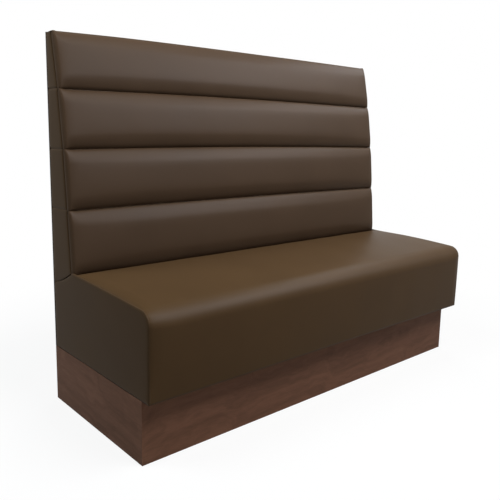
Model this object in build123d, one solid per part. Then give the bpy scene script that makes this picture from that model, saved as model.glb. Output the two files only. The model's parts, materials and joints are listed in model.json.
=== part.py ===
from build123d import *
import math
import os

# A high-backed booth seat: a back sewn into four horizontal channels, a boxed seat whose cover
# falls over the front in one piece, and a timber plinth set in under the seat's front edge.
# Millimetres. The origin is on the floor under the middle of the booth, +Z is up, -Y is the side
# that people sit on, and +X is the right-hand end seen from the front. Sizes from front to back
# are given as depths, counted forward from the rear face.

# Overall sizes
booth_length = 1520.0
seat_depth = 565.0          # rear face to the seam at the seat's front corners
seat_height = 453.0         # floor to the seat's cover where it meets the back
seat_front_drop = 20.0      # how much lower the seat's end seams run at the front
overrun = 10.0              # how far a cutting tool runs past what it cuts

# The back: heights of its channels from the top down, and depths of its front corner seam
channel_1_height = 169.0
channel_2_height = 182.0
channel_3_height = 185.0
channel_4_height = 192.0
back_depth_top = 39.0
back_depth_seam_1 = 74.0
back_depth_seam_2 = 99.5
back_depth_seam_3 = 116.5
back_depth_seat = 133.0

# Covers and what lies right under them
cover_thickness = 2.0       # vinyl with its bonded backing
cover_clearance = 0.3       # between a curved cover and the foam inside it
lining_thickness = 4.0      # rear board with its black cloth
side_pad_thickness = 5.0
crease_width = 2.4          # the sewn creases across the back's side covers
crease_depth = 0.9

# The rounded channels of the back
channel_crown = 18.0        # height of a full channel above its seams
channel_end_crown = 2.0     # what is left of it where the channel is drawn into the side seam
channel_shoulder_radius = 55.0
channel_seam_rise = 5.0     # cover and foam left at a seam, above the face panel
channel_top_share = 0.2     # share of the crown that belongs to the long middle arc
station_shares = (0.8, 0.9, 0.955, 0.98, 0.993, 1.0)
full_share = 0.8            # share of a cushion's half length over which it is full
fullness_power_share = 4.0

# The seat cushion
seat_front_radius = 50.0
seat_end_sag = 3.0          # rise of the top's curve at the end seams
seat_middle_sag = 8.0       # the same in the full part of the seat
seat_corner_rise = 5.0      # how much the full part's front edge stands above the end seams
seat_end_bulge = 4.0        # how far the front stands forward of its lower edge at the ends
seat_middle_bulge = 5.0
seat_pad_height = 53.0      # deck to the top of the cover at the back
front_foam_thickness = 12.0
seat_gap = 0.3              # around the seat cushion's rear and upper edge

# Timber frames
frame_board = 18.0          # thickness of the frames' boards
deck_thickness = 12.0
face_panel_thickness = 6.0
top_rail_thickness = 18.0
bottom_rail_thickness = 25.0
batten_height = 45.0
batten_thickness = 18.0
seat_block_leg = 40.0
seat_block_height = 120.0
underlining_thickness = 1.0
rib_count = 3

# Plinth
plinth_height = 182.0
plinth_board = 18.0
plinth_front_recess = 34.0
plinth_right_recess = 44.0
plinth_block_leg = 45.0
plinth_block_height = 130.0

# Steel tie plates across the joint between the plinth and the seat frame
plate_height = 80.0
plate_width = 40.0
plate_thickness = 2.0
plate_hole_spacing = 50.0
plate_spacing = 315.0       # between the two plates of a rib, which stand evenly in the plinth
plate_clearance = 0.5
screw_radius = 2.0
screw_length = 15.0
screw_head_radius = 4.0
screw_head_height = 1.6

# Bolts between the back unit and the seat deck
bolt_radius = 4.0
bolt_hole_clearance = 0.3
bolt_head_across = 13.0
bolt_head_height = 5.3
washer_radius = 12.0
washer_thickness = 1.6
nut_flange_radius = 11.0
nut_flange_thickness = 1.5
nut_barrel_radius = 5.2
nut_barrel_length = 11.0
nut_thread_clearance = 0.15

# Places that follow from the sizes above
half_length = booth_length / 2
rear_y = (seat_depth + seat_middle_bulge) / 2
deck_top = seat_height - seat_pad_height
frame_bottom = plinth_height + underlining_thickness
deck_bottom = deck_top - deck_thickness
seam_3_height = seat_height + seat_gap + channel_4_height
seam_2_height = seam_3_height + channel_3_height
seam_1_height = seam_2_height + channel_2_height
corner_height = seam_1_height + channel_1_height
top_height = corner_height + cover_thickness
core_half = half_length - cover_thickness - side_pad_thickness
inner_half = core_half - frame_board
rail_front = seat_depth - cover_thickness - cover_clearance - front_foam_thickness

# The front corner seam of the back, from the seat up, as (depth, height)
seam_line = (
    (back_depth_seat, seat_height + seat_gap),
    (back_depth_seam_3, seam_3_height),
    (back_depth_seam_2, seam_2_height),
    (back_depth_seam_1, seam_1_height),
    (back_depth_top, corner_height),
)


def at(x, depth, z):
    """A point in the booth's frame from a place along it, a depth and a height."""
    return (x, rear_y - depth, z)


def prism(x_low, x_high, outline):
    """A solid of constant side outline, given as (depth, height) points, between two ends."""
    face = make_face(Polyline(*[at(x_low, depth, z) for depth, z in outline], close=True))
    return extrude(face, amount=x_high - x_low, dir=(1, 0, 0))


def board(x_low, x_high, depth_low, depth_high, z_low, z_high):
    """A flat board between two opposite corners."""
    corners = ((depth_low, z_low), (depth_high, z_low), (depth_high, z_high), (depth_low, z_high))
    return prism(x_low, x_high, corners)


def cylinder_up(x, depth, z_low, z_high, radius):
    """A round bar standing between two heights."""
    bar = Cylinder(radius, z_high - z_low, align=(Align.CENTER, Align.CENTER, Align.MIN))
    return Pos(*at(x, depth, z_low)) * bar


def cylinder_along(x_low, x_high, depth, z, radius):
    """A round bar lying along the booth between two places."""
    bar = Cylinder(radius, x_high - x_low, align=(Align.CENTER, Align.CENTER, Align.MIN))
    return Pos(*at(x_low, depth, z)) * Rot(0, 90, 0) * bar


def fullness(x, half):
    """How full a cushion is at a place along it: 1 over most of its length, 0 at its end seams."""
    share = (abs(x) / half - full_share) / (1 - full_share)
    return (1 - min(max(share, 0), 1) ** fullness_power_share) ** 0.5


def stations(half):
    """Places along a cushion, crowded towards its ends, where its cross sections are drawn."""
    right = [half * share for share in station_shares]
    return [-x for x in reversed(right)] + right


def inner_centre(start, small, big_centre, big):
    """Centre of the small arc that rises from start and runs smoothly into a big arc."""
    reach = big - small
    across = big_centre[0] - start[0]
    up = big_centre[1] - start[1]
    apart = math.hypot(across, up)
    along = (apart ** 2 + small ** 2 - reach ** 2) / (2 * apart)
    off = math.sqrt(small ** 2 - along ** 2)
    return (
        start[0] + (across * along - up * off) / apart,
        start[1] + (up * along + across * off) / apart,
    )


def on_circle(centre, radius, towards):
    """The point of a circle that lies from its centre in the direction of another point."""
    across = towards[0] - centre[0]
    up = towards[1] - centre[1]
    size = math.hypot(across, up)
    return (centre[0] + radius * across / size, centre[1] + radius * up / size)


def height_on_circle(centre, radius, across):
    """The upper point of a circle at a given place across it."""
    return (across, centre[1] + math.sqrt(radius ** 2 - (across - centre[0]) ** 2))


def arc_points(centre, radius, start, end):
    """Start, middle and end of the shorter arc of a circle between two of its points."""
    middle = ((start[0] + end[0]) / 2, (start[1] + end[1]) / 2)
    return (start, on_circle(centre, radius, middle), end)


def section(x, arcs_out, arcs_in):
    """A flat band at one place along the booth, between two rows of arcs that run alike."""
    edges = [ThreePointArc(*[at(x, *point) for point in arc]) for arc in arcs_out]
    edges.append(Line(at(x, *arcs_out[-1][2]), at(x, *arcs_in[-1][2])))
    edges += [ThreePointArc(*[at(x, *point) for point in reversed(arc)]) for arc in reversed(arcs_in)]
    edges.append(Line(at(x, *arcs_in[0][0]), at(x, *arcs_out[0][0])))
    return Face(Wire(edges))


def closed_section(x, arcs, floor):
    """A flat section at one place along the booth, closed below its arcs by straight lines."""
    edges = [ThreePointArc(*[at(x, *point) for point in arc]) for arc in arcs]
    corners = [arcs[-1][2], *floor, arcs[0][0]]
    for start, end in zip(corners, corners[1:]):
        edges.append(Line(at(x, *start), at(x, *end)))
    return Face(Wire(edges))


# The shape of the back

def seam_depth(z):
    """Depth of the back's front corner seam at a height, carried on in line at both ends."""
    for low, high in zip(seam_line, seam_line[1:]):
        if z <= high[1]:
            break
    share = (z - low[1]) / (high[1] - low[1])
    return low[0] + share * (high[0] - low[0])


def back_layer(z_low, z_high, front_inset, rear_inset=None):
    """Side outline of one layer of the back, between two depths behind the front corner seam.

    With no rear inset the layer reaches back to the rear lining.
    """
    inner = [z for _, z in seam_line if z_low < z < z_high]
    heights = [z_low, *inner, z_high]
    front = [(seam_depth(z) - front_inset, z) for z in heights]
    if rear_inset is None:
        return front + [(lining_thickness, z_high), (lining_thickness, z_low)]
    return front + [(seam_depth(z) - rear_inset, z) for z in reversed(heights)]


def channel_arcs(low, high, e, inset):
    """The three arcs of a channel's outer face over one facet of the back, drawn in by inset.

    low and high are the facet's ends on the face panel as (depth, height), and e is the fullness.
    """
    run = math.dist(low, high)
    up = ((high[0] - low[0]) / run, (high[1] - low[1]) / run)
    out = (up[1], -up[0])
    crown = channel_end_crown + (channel_crown - channel_end_crown) * e
    big = (run / 2) ** 2 / (2 * channel_top_share * crown)
    big_centre = (run / 2, channel_seam_rise + crown - big)
    first = inner_centre((0, channel_seam_rise), channel_shoulder_radius, big_centre, big)
    last = (run - first[0], first[1])
    small_in = channel_shoulder_radius - inset
    start = height_on_circle(first, small_in, 0)
    join_low = on_circle(big_centre, big - inset, first)
    join_high = (run - join_low[0], join_low[1])
    flat = (
        arc_points(first, small_in, start, join_low),
        arc_points(big_centre, big - inset, join_low, join_high),
        arc_points(last, small_in, join_high, (run - start[0], start[1])),
    )
    return [
        [(low[0] + up[0] * s + out[0] * n, low[1] + up[1] * s + out[1] * n) for s, n in arc]
        for arc in flat
    ]


def facet(number):
    """The ends of one channel's facet on the face panel; channel 1 is the top one."""
    low = seam_line[len(seam_line) - 1 - number]
    high = seam_line[len(seam_line) - number]
    return (
        (low[0] - channel_seam_rise, low[1]),
        (high[0] - channel_seam_rise, high[1]),
    )


def channel_cover(number):
    """The vinyl of one channel, drawn in at its ends and open at the back."""
    low, high = facet(number)
    half = half_length - cover_thickness
    bands = []
    for x in stations(half):
        e = fullness(x, half)
        outer = channel_arcs(low, high, e, 0)
        inner = channel_arcs(low, high, e, cover_thickness)
        bands.append(section(x, outer, inner))
    return loft(bands, ruled=True)


def channel_foam(number):
    """The foam strip inside one channel, flat where it is glued to the face panel."""
    low, high = facet(number)
    cover_half = half_length - cover_thickness
    blocks = []
    for x in stations(core_half):
        arcs = channel_arcs(low, high, fullness(x, cover_half), cover_thickness + cover_clearance)
        blocks.append(closed_section(x, arcs, [high, low]))
    return loft(blocks, ruled=True)


def back_side_outline():
    """Side outline of the back unit, whose lower edge runs down to the rear behind the seat."""
    upper = back_layer(seat_height + seat_gap, corner_height, 0)
    return upper[:-1] + [(lining_thickness, rear_slope_height(lining_thickness) + seat_gap)]


def rear_slope_height(depth):
    """Height of the seat's end panel behind the back's front, where it falls to the deck."""
    return deck_top + (seat_height - deck_top) * depth / seat_rear_depth()


def back_side_cover(side):
    """One end panel of the back, with sewn creases in line with the channel seams."""
    outline = [(min(depth, seam_depth(z)), z) for depth, z in back_side_outline()]
    cover = prism(half_length - cover_thickness, half_length, outline)
    for _, z in seam_line[1:-1]:
        groove = prism(0, back_depth_seat, crease_outline(z))
        cover -= Pos(half_length - crease_depth, 0, 0) * groove
    return cover if side > 0 else mirror(cover, about=Plane.YZ)


def crease_outline(z):
    """Outline of a groove that runs from the rear to the front at one height."""
    half = crease_width / 2
    return ((0, z - half), (back_depth_seat, z - half), (back_depth_seat, z + half), (0, z + half))


def back_side_pad(side):
    """The thin wadding under one end panel of the back."""
    low = [(depth, z + cover_thickness) for depth, z in back_side_outline()[-1:]]
    front = back_layer(seat_height + seat_gap, corner_height, channel_seam_rise)
    pad = prism(core_half, half_length - cover_thickness, front[:-1] + low)
    return pad if side > 0 else mirror(pad, about=Plane.YZ)


def back_upright(side):
    """The wedge-shaped end board of the back frame."""
    outline = back_layer(deck_top, top_rail_bottom(), panel_back_inset())
    upright = prism(inner_half, core_half, outline)
    return upright if side > 0 else mirror(upright, about=Plane.YZ)


def panel_back_inset():
    """How far the back of the face panel lies behind the front corner seam."""
    return channel_seam_rise + face_panel_thickness


def top_rail_bottom():
    """Height of the top rail's underside, where the ribs and uprights end."""
    return corner_height - top_rail_thickness


def rib_places():
    """Places along the booth of the ribs between the end boards, evenly spaced."""
    step = 2 * inner_half / (rib_count + 1)
    return [step * (index + 1) - inner_half for index in range(rib_count)]


def bolt_places():
    """Places along the booth of the bolts, one in the middle of each bay between ribs."""
    step = 2 * inner_half / (rib_count + 1)
    return [step * (index + 0.5) - inner_half for index in range(rib_count + 1)]


def seam_batten(z):
    """A batten behind one channel seam, which holds the staples of the pulled-in seam."""
    front = panel_back_inset()
    half = batten_height / 2
    outline = back_layer(z - half, z + half, front, front + batten_thickness)
    return prism(-inner_half, inner_half, outline)


def back_rib(x, battens):
    """A wedge-shaped rib between the rails, notched where the battens cross it."""
    low = deck_top + bottom_rail_thickness
    outline = back_layer(low, top_rail_bottom(), panel_back_inset())
    rib = prism(x - frame_board / 2, x + frame_board / 2, outline)
    for batten in battens:
        rib -= batten
    return rib


def top_rail():
    """The board that caps the ribs and uprights, bevelled to the slope of the back."""
    outline = back_layer(top_rail_bottom(), corner_height, panel_back_inset())
    return prism(-core_half, core_half, outline)


def bolt_depth():
    """Depth of the row of bolts, in the middle of the bottom rail."""
    return (lining_thickness + seam_depth(deck_top) - panel_back_inset()) / 2


def bottom_rail():
    """The board that stands on the seat deck, bored for the tee nuts."""
    top = deck_top + bottom_rail_thickness
    rail = prism(-inner_half, inner_half, back_layer(deck_top, top, panel_back_inset()))
    for x in bolt_places():
        rail -= cylinder_up(x, bolt_depth(), deck_top - overrun, top + overrun, nut_barrel_radius)
    return rail


def face_panel():
    """The thin ply sheet that follows the ribs and carries the channel foams."""
    outline = back_layer(deck_top, corner_height, channel_seam_rise, panel_back_inset())
    return prism(-core_half, core_half, outline)


def back_top_cover():
    """The strip of vinyl over the top rail."""
    front = back_depth_top - channel_seam_rise
    return board(-half_length, half_length, lining_thickness, front, corner_height, top_height)


def back_lining():
    """The black rear board of the back unit."""
    return board(-half_length, half_length, 0, lining_thickness, deck_top, top_height)


# The shape of the seat

def seat_arcs(e, inset):
    """The top, front edge and front face of the seat's cover, drawn in by inset."""
    front = seat_depth + seat_end_bulge + (seat_middle_bulge - seat_end_bulge) * e
    corner = (
        front - seat_front_radius,
        seat_height - seat_front_drop - seat_front_radius + seat_corner_rise * e,
    )
    back = (seat_rear_depth(), seat_height)
    sag = seat_end_sag + (seat_middle_sag - seat_end_sag) * e
    top_radius = math.dist(back, corner) ** 2 / (8 * sag)
    top_centre = far_centre(back, top_radius, corner, top_radius - seat_front_radius)
    fall = corner[1] - frame_bottom
    bulge = front - seat_depth
    face_radius = (fall ** 2 + bulge ** 2) / (2 * bulge)
    face_centre = (front - face_radius, corner[1])
    rear = height_on_circle(top_centre, top_radius - inset, back[0])
    join = on_circle(corner, seat_front_radius - inset, (corner[0] * 2 - top_centre[0],
                                                         corner[1] * 2 - top_centre[1]))
    drop = (front - inset, corner[1])
    foot_radius = face_radius - inset
    foot = (face_centre[0] + math.sqrt(foot_radius ** 2 - fall ** 2), frame_bottom)
    return (
        arc_points(top_centre, top_radius - inset, rear, join),
        arc_points(corner, seat_front_radius - inset, join, drop),
        arc_points(face_centre, foot_radius, drop, foot),
    )


def far_centre(start, first, other, second):
    """The lower crossing of a circle of radius first about start and one of radius second."""
    across = other[0] - start[0]
    up = other[1] - start[1]
    apart = math.hypot(across, up)
    along = (apart ** 2 + first ** 2 - second ** 2) / (2 * apart)
    off = math.sqrt(first ** 2 - along ** 2)
    return (
        start[0] + (across * along + up * off) / apart,
        start[1] + (up * along - across * off) / apart,
    )


def seat_rear_depth():
    """Depth of the seat cushion's rear edge, just in front of the back's face panel."""
    return seam_depth(deck_top) - channel_seam_rise + seat_gap


def seat_cover():
    """The one-piece cover over the seat's top, front edge and front."""
    half = half_length - cover_thickness
    bands = []
    for x in stations(half):
        e = fullness(x, half)
        bands.append(section(x, seat_arcs(e, 0), seat_arcs(e, cover_thickness)))
    return loft(bands, ruled=True)


def seat_filling():
    """Everything inside the seat's cover in front of the back, before it is cut into foams."""
    half = half_length - cover_thickness
    blocks = []
    for x in stations(core_half):
        arcs = seat_arcs(fullness(x, half), cover_thickness + cover_clearance)
        blocks.append(closed_section(x, arcs, [(seat_rear_depth(), frame_bottom)]))
    return loft(blocks, ruled=True)


def seat_foams():
    """The slab on the deck and the thinner sheet in front of the front rail."""
    filling = seat_filling()
    past = half_length + overrun
    deep = seat_depth + overrun
    slab = board(-past, past, 0, deep + seat_middle_bulge, deck_top, seat_height + overrun * 2)
    sheet = board(-past, past, rail_front, deep + seat_middle_bulge, 0, deck_top)
    return filling & slab, filling & sheet


def seat_side(x_low, x_high, inset, side):
    """A layer of the seat's end, outlined like the cover and drawn in by inset.

    Behind the back's front its upper edge runs down to the deck.
    """
    arcs = [tuple(reversed(arc)) for arc in reversed(seat_arcs(0, inset))]
    floor = [
        (lining_thickness, rear_slope_height(lining_thickness) - inset),
        (lining_thickness, frame_bottom),
    ]
    panel = extrude(closed_section(x_low, arcs, floor), amount=x_high - x_low, dir=(1, 0, 0))
    return panel if side > 0 else mirror(panel, about=Plane.YZ)


def seat_end_board(side):
    """The end board of the seat frame."""
    end = board(inner_half, core_half, lining_thickness, rail_front, frame_bottom, deck_bottom)
    return end if side > 0 else mirror(end, about=Plane.YZ)


def seat_deck():
    """The ply deck under the seat foam, bored for the bolts of the back unit."""
    deck = board(-core_half, core_half, lining_thickness, rail_front, deck_bottom, deck_top)
    radius = bolt_radius + bolt_hole_clearance
    for x in bolt_places():
        deck -= cylinder_up(x, bolt_depth(), deck_bottom - overrun, deck_top + overrun, radius)
    return deck


def corner_block(x, depth, x_way, depth_way, leg, z_low, z_high):
    """A three-cornered glue block that fills the angle between two boards."""
    face = make_face(Polyline(
        at(x, depth, z_low), at(x + x_way * leg, depth, z_low), at(x, depth + depth_way * leg, z_low),
        close=True,
    ))
    return extrude(face, amount=z_high - z_low, dir=(0, 0, 1))


def four_blocks(x_low, x_high, depth_low, depth_high, leg, z_low, z_high):
    """Glue blocks in the four inner corners of a frame."""
    return [
        corner_block(x, depth, x_way, depth_way, leg, z_low, z_high)
        for x, x_way in ((x_low, 1), (x_high, -1))
        for depth, depth_way in ((depth_low, 1), (depth_high, -1))
    ]


# The plinth

plinth_left = -half_length
plinth_right = half_length - plinth_right_recess
plinth_front = seat_depth - plinth_front_recess
plinth_inner_front = plinth_front - plinth_board


def mitred(outline):
    """A plinth board from its plan, given as (place along, depth) points."""
    face = make_face(Polyline(*[at(x, depth, 0) for x, depth in outline], close=True))
    return extrude(face, amount=plinth_height, dir=(0, 0, 1))


def plinth_boards():
    """The plinth's outer boards, mitred where the front meets the ends."""
    front = mitred((
        (plinth_left, plinth_front), (plinth_right, plinth_front),
        (plinth_right - plinth_board, plinth_inner_front),
        (plinth_left + plinth_board, plinth_inner_front),
    ))
    left = mitred((
        (plinth_left, 0), (plinth_left + plinth_board, 0),
        (plinth_left + plinth_board, plinth_inner_front), (plinth_left, plinth_front),
    ))
    right = mitred((
        (plinth_right, 0), (plinth_right, plinth_front),
        (plinth_right - plinth_board, plinth_inner_front), (plinth_right - plinth_board, 0),
    ))
    rear = board(
        plinth_left + plinth_board, plinth_right - plinth_board, 0, plinth_board, 0, plinth_height
    )
    return {
        "plinth_front_board": front,
        "plinth_left_board": left,
        "plinth_right_board": right,
        "plinth_rear_board": rear,
    }


def plated_ribs():
    """Indices of the ribs that carry tie plates, the outermost on each side."""
    return (0, rib_count - 1)


def plate_spots(index):
    """Side face and depth of each tie plate on one rib."""
    face = rib_places()[index] + frame_board / 2
    middle = (plinth_board + plinth_inner_front) / 2
    return [(face, middle - plate_spacing / 2), (face, middle + plate_spacing / 2)]


def tie_plate(x, depth):
    """A flat steel plate with two holes, screwed to a brace and to the rib above it."""
    half = plate_width / 2
    z_low = plinth_height - plate_height / 2
    plate = board(x, x + plate_thickness, depth - half, depth + half, z_low, z_low + plate_height)
    for z in plate_hole_heights():
        plate -= cylinder_along(x - overrun, x + overrun, depth, z, screw_radius)
    return plate


def plate_hole_heights():
    """Heights of a tie plate's two holes, one below and one above the joint."""
    return (plinth_height - plate_hole_spacing / 2, plinth_height + plate_hole_spacing / 2)


def plate_screw(x, depth, z):
    """A wood screw through a tie plate into the board behind it, its thread left out."""
    face = x + plate_thickness
    shank = cylinder_along(face - screw_length, face, depth, z, screw_radius)
    head = cylinder_along(face, face + screw_head_height, depth, z, screw_head_radius)
    return shank + head


def bored(part, bars):
    """A part with the holes of the given bars taken out of it."""
    for bar in bars:
        part = part - bar
    return part


def underlining(plates):
    """The thin cloth under the seat frame, slit where the tie plates pass."""
    inset = cover_thickness
    cloth = board(
        inset - half_length, half_length - inset, lining_thickness, seat_depth - inset,
        plinth_height, frame_bottom,
    )
    half = plate_width / 2 + plate_clearance
    for x, depth in plates:
        cloth -= board(
            x - plate_clearance, x + plate_thickness + plate_clearance, depth - half, depth + half,
            plinth_height - overrun, frame_bottom + overrun,
        )
    return cloth


# The bolts of the back unit

def back_bolt(x):
    """A hexagon bolt that comes up through the deck into its tee nut."""
    head_top = deck_bottom - washer_thickness
    tip = deck_top + bottom_rail_thickness
    shank = cylinder_up(x, bolt_depth(), head_top, tip, bolt_radius)
    outline = RegularPolygon(bolt_head_across / 2, 6, major_radius=False)
    head = extrude(Pos(*at(x, bolt_depth(), head_top - bolt_head_height)) * outline, bolt_head_height)
    return shank + head


def bolt_washer(x):
    """The washer under a bolt's head."""
    ring = cylinder_up(x, bolt_depth(), deck_bottom - washer_thickness, deck_bottom, washer_radius)
    hole = bolt_radius + bolt_hole_clearance
    return ring - cylinder_up(x, bolt_depth(), deck_bottom - overrun, deck_bottom + overrun, hole)


def tee_nut(x):
    """A tee nut pressed into the bottom rail from above."""
    top = deck_top + bottom_rail_thickness
    flange = cylinder_up(x, bolt_depth(), top, top + nut_flange_thickness, nut_flange_radius)
    barrel = cylinder_up(x, bolt_depth(), top - nut_barrel_length, top, nut_barrel_radius)
    hole = bolt_radius + nut_thread_clearance
    return flange + barrel - cylinder_up(x, bolt_depth(), deck_top, top + overrun, hole)


def plinth_unit():
    """The plinth: outer boards, braces under the seat's ribs, and glue blocks."""
    parts = plinth_boards()
    for index, x in enumerate(rib_places()):
        parts[f"plinth_brace_{index + 1}"] = board(
            x - frame_board / 2, x + frame_board / 2, plinth_board, plinth_inner_front,
            0, plinth_height,
        )
    blocks_low = (plinth_height - plinth_block_height) / 2
    parts["plinth_corner_blocks"] = four_blocks(
        plinth_left + plinth_board, plinth_right - plinth_board, plinth_board, plinth_inner_front,
        plinth_block_leg, blocks_low, blocks_low + plinth_block_height,
    )
    return parts


def seat_unit():
    """The seat: its frame and deck, foams, pads and covers."""
    rail_back = rail_front - frame_board
    rear_rail_front = lining_thickness + frame_board
    parts = {
        "seat_front_rail": board(
            -inner_half, inner_half, rail_back, rail_front, frame_bottom, deck_bottom
        ),
        "seat_rear_rail": board(
            -inner_half, inner_half, lining_thickness, rear_rail_front, frame_bottom, deck_bottom
        ),
        "seat_left_end": seat_end_board(-1),
        "seat_right_end": seat_end_board(1),
        "seat_deck": seat_deck(),
    }
    for index, x in enumerate(rib_places()):
        parts[f"seat_rib_{index + 1}"] = board(
            x - frame_board / 2, x + frame_board / 2, rear_rail_front, rail_back,
            frame_bottom, deck_bottom,
        )
    parts["seat_corner_blocks"] = four_blocks(
        -inner_half, inner_half, rear_rail_front, rail_back, seat_block_leg,
        deck_bottom - seat_block_height, deck_bottom,
    )
    parts["seat_foam"], parts["seat_front_foam"] = seat_foams()
    parts["seat_cover"] = seat_cover()
    inner_face = half_length - cover_thickness
    for name, side in (("left", -1), ("right", 1)):
        parts[f"seat_{name}_pad"] = seat_side(core_half, inner_face, cover_thickness + cover_clearance, side)
        parts[f"seat_{name}_cover"] = seat_side(inner_face, half_length, 0, side)
    parts["seat_lining"] = board(
        -half_length, half_length, 0, lining_thickness, frame_bottom, deck_top
    )
    return parts


def back_unit():
    """The back: its wedge frame, face panel, channels, end covers and lining."""
    battens = [seam_batten(z) for z in (seam_1_height, seam_2_height, seam_3_height)]
    parts = {
        "back_left_upright": back_upright(-1),
        "back_right_upright": back_upright(1),
        "back_top_rail": top_rail(),
        "back_bottom_rail": bottom_rail(),
        "back_face_panel": face_panel(),
        "back_top_cover": back_top_cover(),
        "back_lining": back_lining(),
        "back_left_pad": back_side_pad(-1),
        "back_right_pad": back_side_pad(1),
        "back_left_cover": back_side_cover(-1),
        "back_right_cover": back_side_cover(1),
    }
    for index, x in enumerate(rib_places()):
        parts[f"back_rib_{index + 1}"] = back_rib(x, battens)
    for index, batten in enumerate(battens):
        parts[f"back_seam_batten_{index + 1}"] = batten
    for number in range(1, len(seam_line)):
        parts[f"channel_foam_{number}"] = channel_foam(number)
        parts[f"channel_cover_{number}"] = channel_cover(number)
    return parts


def fasteners():
    """The bolts that join back and seat, and the plates that join seat and plinth."""
    plates = [spot for index in plated_ribs() for spot in plate_spots(index)]
    return {
        "back_bolts": [back_bolt(x) for x in bolt_places()],
        "back_bolt_washers": [bolt_washer(x) for x in bolt_places()],
        "back_tee_nuts": [tee_nut(x) for x in bolt_places()],
        "seat_tie_plates": [tie_plate(x, depth) for x, depth in plates],
        "tie_plate_screws": [
            plate_screw(x, depth, z) for x, depth in plates for z in plate_hole_heights()
        ],
        "seat_underlining": underlining(plates),
    }


def bore_ribs(parts):
    """Bore the braces and seat ribs for the screws of the tie plates."""
    for index in plated_ribs():
        for name in (f"plinth_brace_{index + 1}", f"seat_rib_{index + 1}"):
            bars = [
                cylinder_along(x + plate_thickness - screw_length, x + overrun, depth, z, screw_radius)
                for x, depth in plate_spots(index) for z in plate_hole_heights()
            ]
            parts[name] = bored(parts[name], bars)


def booth():
    """Every piece of the booth by name, each a solid or a list of like solids."""
    parts = {**plinth_unit(), **seat_unit(), **back_unit(), **fasteners()}
    bore_ribs(parts)
    return parts


if __name__ == "__main__":
    os.makedirs("parts", exist_ok=True)
    for name, piece in booth().items():
        solids = piece if isinstance(piece, list) else [piece]
        bodies = [solid for part in solids for solid in part.solids()]
        export_step(Compound(children=bodies) if len(bodies) > 1 else bodies[0], f"parts/{name}.step")
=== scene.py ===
import json
import math

import bpy
import numpy as np
from mathutils import Matrix, Vector


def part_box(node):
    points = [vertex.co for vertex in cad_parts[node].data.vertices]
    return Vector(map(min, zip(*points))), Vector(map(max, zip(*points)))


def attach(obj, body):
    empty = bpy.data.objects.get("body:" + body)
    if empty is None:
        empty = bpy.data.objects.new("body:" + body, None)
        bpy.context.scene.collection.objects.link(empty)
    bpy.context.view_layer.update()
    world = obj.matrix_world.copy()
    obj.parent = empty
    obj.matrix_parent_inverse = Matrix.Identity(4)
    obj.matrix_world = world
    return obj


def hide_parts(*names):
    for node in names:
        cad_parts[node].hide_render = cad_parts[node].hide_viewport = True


bl_info = {
    "name": "Channelled booth seat",
    "version": (1, 0, 0),
    "blender": (4, 5, 0),
    "location": "3D View > Sidebar > Booth",
    "description": "Dresses the frame of a channelled booth seat in vinyl, wood and lining cloth",
    "category": "Object",
}

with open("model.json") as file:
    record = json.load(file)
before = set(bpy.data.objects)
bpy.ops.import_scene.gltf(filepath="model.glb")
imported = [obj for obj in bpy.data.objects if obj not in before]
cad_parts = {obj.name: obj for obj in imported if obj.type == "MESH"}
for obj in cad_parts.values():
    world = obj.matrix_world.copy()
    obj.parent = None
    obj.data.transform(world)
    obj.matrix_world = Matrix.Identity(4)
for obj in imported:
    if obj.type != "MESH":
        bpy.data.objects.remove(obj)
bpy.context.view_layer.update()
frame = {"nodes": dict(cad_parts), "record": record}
nodes = frame["nodes"]

MM = 0.001

# How many millimetres each seam of the back stands above its straight line in the frame, at the
# left end, in the middle and at the right end of the booth, from the seat up
SEAM_LIFTS = (
    (-14.0, -14.0, -14.0),
    (-3.0, 0.0, -2.5),
    (-1.5, 5.0, -1.5),
    (-3.0, 3.5, -2.5),
    (1.0, 9.5, 7.5),
)
TOP_EDGE = len(SEAM_LIFTS) - 1

# Gaps that keep a soft piece off the frame behind it and off the rear lining
SKIN_GAP = 0.3 * MM
LINING_GAP = 0.2 * MM

# How far inside the booth's end faces the channels end
CHANNEL_INSET = 2.4 * MM

# Depth and width of the crease that a cross seam draws in an end panel
CREASE_DEPTH = 3 * MM
CREASE_WIDTH = 2.2 * MM

# Grids of points: along and across a channel, and along and round the seat's cover (its top, its
# front edge and its front), with coarser ones for the cloth simulation
CHANNEL_GRID = (240, 61)
CHANNEL_CLOTH = (120, 25)
SEAT_GRID = (260, (46, 26, 34))
SEAT_CLOTH = (120, (19, 11, 14))
SEAT_END_ARCS = (60, 30, 12)

# Seeds of the slow waves and gathers, apart from those of the channels, which go by number
SEAT_SEED = 31
SEAT_SEAM_SEED = 32
SEAT_END_SEED = 50
BACK_END_SEED = 60
STRIP_SEED = 77

# Specular levels and roughness of the vinyl; the top strip is matt, since it is seen at low angles
BACK_GLOSS = 0.038
SEAT_GLOSS = 0.036
END_GLOSS = 0.021
STRIP_GLOSS = 0.012
VINYL_ROUGHNESS = 0.38
STRIP_ROUGHNESS = 0.62


# Sizes and places read from the frame

def front_line(node):
    """The foremost (y, z) of a node at each height that it has corners at, from the bottom up."""
    line = {}
    for vertex in nodes[node].data.vertices:
        y, z = round(vertex.co.y, 5), round(vertex.co.z, 5)
        line[z] = min(y, line.get(z, y))
    return [(line[z], z) for z in sorted(line)]


rear_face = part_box("back_lining")[1].y
end_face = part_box("seat_right_cover")[1].x
cover_gauge = end_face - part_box("seat_right_cover")[0].x
pad_inner_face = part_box("seat_right_pad")[0].x
seat_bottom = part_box("seat_right_cover")[0].z
seat_front_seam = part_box("seat_right_cover")[0].y
seat_foot = front_line("seat_right_cover")[0][0]
deck_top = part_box("seat_deck")[1].z
deck_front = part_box("seat_deck")[0].y
seat_rear_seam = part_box("seat_foam")[1].y
lining_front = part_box("back_lining")[0].y
panel_line = front_line("back_left_pad")[1:]
back_top = panel_line[-1][1]


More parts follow.
